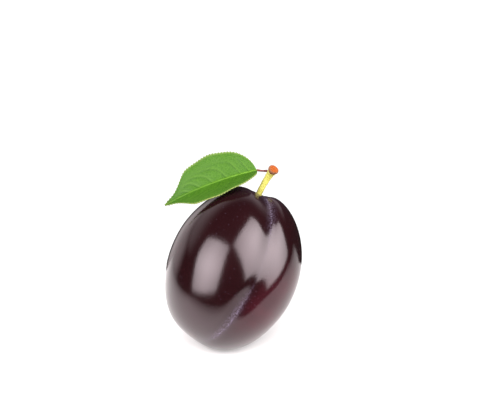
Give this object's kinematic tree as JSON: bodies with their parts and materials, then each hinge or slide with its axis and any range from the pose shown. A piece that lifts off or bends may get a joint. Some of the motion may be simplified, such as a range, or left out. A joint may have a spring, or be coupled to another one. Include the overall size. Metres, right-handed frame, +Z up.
{
  "type": "plum",
  "caption": "Ripe dark oval plum lying at a slant on a small flat spot, with a seam groove, a short stalk and a serrated green leaf",
  "frame": {"origin": "middle of the small flat spot that the plum rests on", "axes": "+Z up, +X to the right of the seam's side, -Y out of the front, which shows the seam and the upper side of the leaf"},
  "size_m": [0.0492, 0.0494, 0.0634],
  "materials": {
    "plum_skin": "smooth waxy dark purple skin with a thin pale bloom",
    "stalk_yellow": "satin yellow green stalk",
    "cut_end_orange": "matt orange cork",
    "leaf_stalk_red": "satin red leaf stalk",
    "leaf_green": "soft satin leaf"
  },
  "bodies": {
    "root": {"fruit": "plum_skin", "stalk": "stalk_yellow", "stalk_cut_end": "cut_end_orange", "leaf_stalk": "leaf_stalk_red", "leaf": "leaf_green"}
  },
  "joints": []
}
